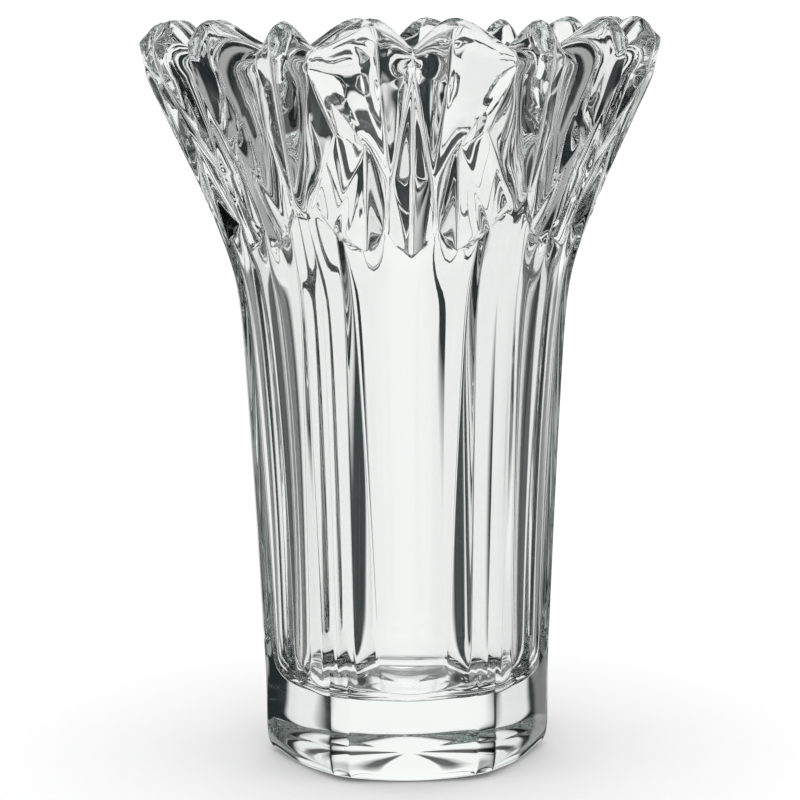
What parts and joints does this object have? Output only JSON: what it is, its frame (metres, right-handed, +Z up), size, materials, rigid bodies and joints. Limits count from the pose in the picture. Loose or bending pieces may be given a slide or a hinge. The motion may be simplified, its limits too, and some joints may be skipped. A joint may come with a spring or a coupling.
{
  "type": "cut crystal vase",
  "caption": "Heavy clear crystal vase with a round solid foot, a ribbed and panelled body and a flared crown of cut petals around a scalloped mouth.",
  "frame": {"origin": "centre of the resting ring, in the plane of the surface the vase stands on", "axes": "+Z up along the vase's own axis, which every petal, panel and rib repeats around; a smooth panel faces -Y"},
  "size_m": [0.1946, 0.193, 0.28],
  "materials": {
    "clear_crystal": "fire-polished, clear and smooth"
  },
  "bodies": {
    "root": {"foot": "clear_crystal", "wall": "clear_crystal", "crown": "clear_crystal"}
  },
  "joints": []
}
